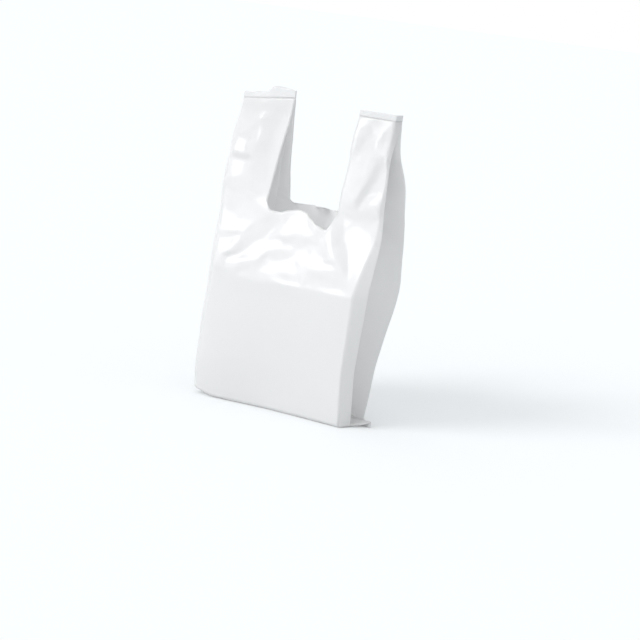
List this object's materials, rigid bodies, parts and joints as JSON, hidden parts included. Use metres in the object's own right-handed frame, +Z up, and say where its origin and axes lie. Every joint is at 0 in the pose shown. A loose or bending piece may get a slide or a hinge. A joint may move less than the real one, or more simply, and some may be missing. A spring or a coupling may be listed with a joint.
{
  "type": "plastic carrier bag",
  "caption": "Thin white plastic film carrier bag with vest handles and side gussets, opened out and standing on its base with its mouth open.",
  "frame": {"origin": "on the ground under the middle of the bottom seal, which is the middle of the bag's base", "axes": "+X along the front's width to the right handle, +Z up to the handles; the front panel faces -Y"},
  "size_m": [0.2924, 0.1567, 0.4876],
  "materials": {
    "film": "thin glossy polythene film, white, slightly see-through"
  },
  "bodies": {
    "root": {"carrier_bag": "film"}
  },
  "joints": []
}
